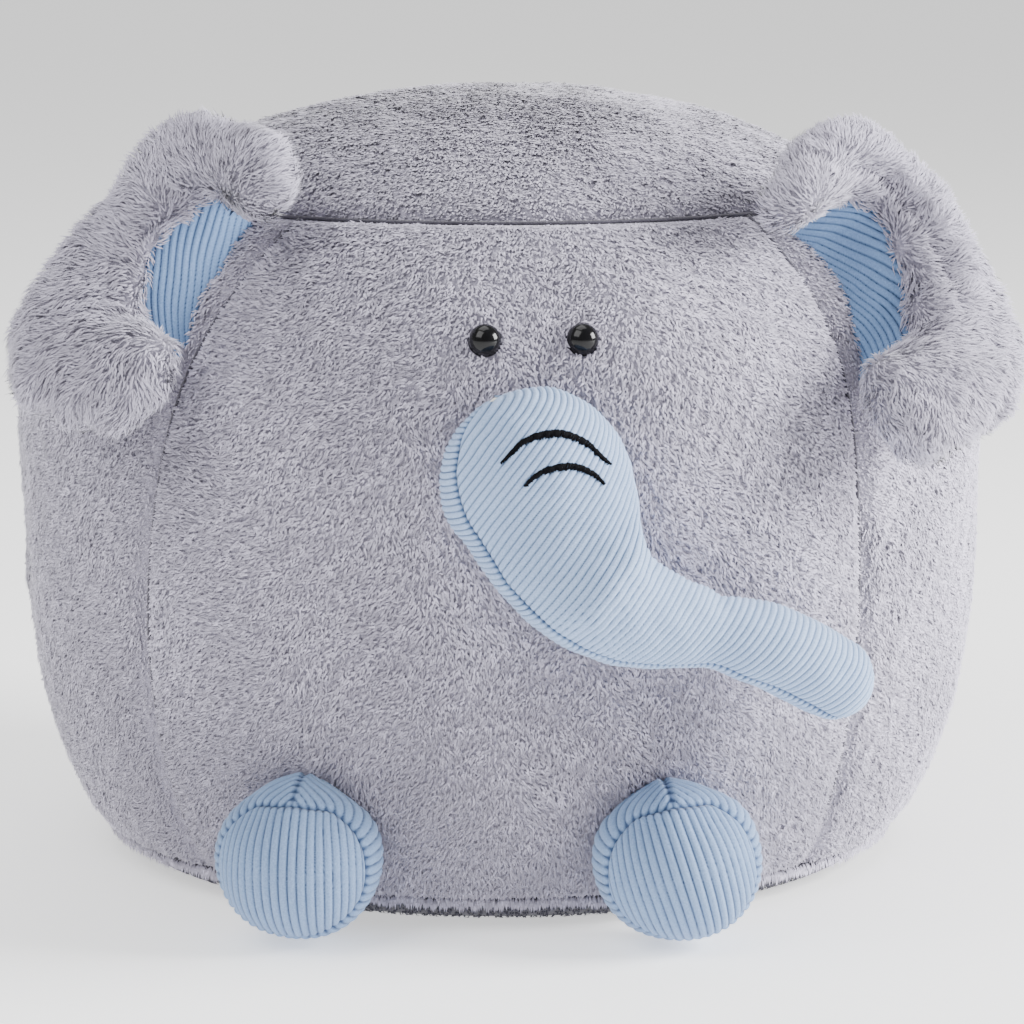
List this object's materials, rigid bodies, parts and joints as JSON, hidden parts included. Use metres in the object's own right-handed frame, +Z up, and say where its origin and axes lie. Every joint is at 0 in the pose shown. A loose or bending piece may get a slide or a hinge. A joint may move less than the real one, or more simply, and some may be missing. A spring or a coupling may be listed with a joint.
{
  "type": "stuffed elephant pouf",
  "caption": "Round plush pouf in the shape of an elephant, with floppy ears, a curved corduroy trunk and ball feet that tilt on their sewn lines.",
  "frame": {"origin": "centre of the flat base, on the surface it stands on", "axes": "+Z up, the face looks along -Y, +X towards the tip of the trunk"},
  "size_m": [0.4498, 0.4945, 0.3582],
  "materials": {
    "fur": "short plush pile, brushed down",
    "ear_fur": "long fluffy plush pile",
    "base_cloth": "flat woven base cloth with a short pile edge",
    "corduroy": "fine ribbed corduroy",
    "ear_corduroy": "ribbed corduroy",
    "thread": "satin stitch embroidery",
    "bead": "glossy",
    "washer": "moulded",
    "stuffing": "fibre filling"
  },
  "bodies": {
    "body": {"base_panel": "base_cloth", "face_panel": "fur", "left_side_panel": "fur", "right_side_panel": "fur", "back_panel": "fur", "top_panel": "fur", "body_stuffing": "stuffing", "eye_left_bead": "bead", "eye_right_bead": "bead", "eye_left_washer": "washer", "eye_right_washer": "washer", "trunk_root_cover": "corduroy", "trunk_root_stuffing": "stuffing", "trunk_crease_threads": "thread"},
    "trunk": {"trunk_upper_panel": "corduroy", "trunk_under_panel": "corduroy", "trunk_stuffing": "stuffing"},
    "ear_left": {"ear_left_back": "ear_fur", "ear_left_rim": "ear_fur", "ear_left_lining": "ear_corduroy", "ear_left_wadding": "stuffing"},
    "ear_right": {"ear_right_back": "ear_fur", "ear_right_rim": "ear_fur", "ear_right_lining": "ear_corduroy", "ear_right_wadding": "stuffing"},
    "foot_left": {"foot_left_toe_panel": "corduroy", "foot_left_gusset": "corduroy", "foot_left_stuffing": "stuffing"},
    "foot_right": {"foot_right_toe_panel": "corduroy", "foot_right_gusset": "corduroy", "foot_right_stuffing": "stuffing"}
  },
  "joints": [
    {"name": "trunk_lift", "type": "hinge", "parent": "body", "child": "trunk", "pos_m": [0.03, -0.249, 0.163], "axis": [-0.3811, -0.095, -0.9197], "range_deg": [-6, 55], "stiffness_Nm_per_rad": 0.3},
    {"name": "ear_left_flap", "type": "hinge", "parent": "body", "child": "ear_left", "pos_m": [-0.12632, -0.17072, 0.27932], "axis": [0.5575, 0.1204, 0.8214], "range_deg": [0, 70], "stiffness_Nm_per_rad": 0.2},
    {"name": "ear_right_flap", "type": "hinge", "parent": "body", "child": "ear_right", "pos_m": [0.12632, -0.17072, 0.27932], "axis": [0.5575, -0.1204, -0.8214], "range_deg": [0, 70], "stiffness_Nm_per_rad": 0.2},
    {"name": "foot_left_tilt", "type": "hinge", "parent": "body", "child": "foot_left", "pos_m": [-0.08753, -0.19207, 0.0703], "axis": [-0.91, 0.4147, 0], "range_deg": [0, 30], "stiffness_Nm_per_rad": 0.3},
    {"name": "foot_right_tilt", "type": "hinge", "parent": "body", "child": "foot_right", "pos_m": [0.06523, -0.20074, 0.0703], "axis": [-0.9511, -0.309, 0], "range_deg": [0, 30], "stiffness_Nm_per_rad": 0.3}
  ]
}
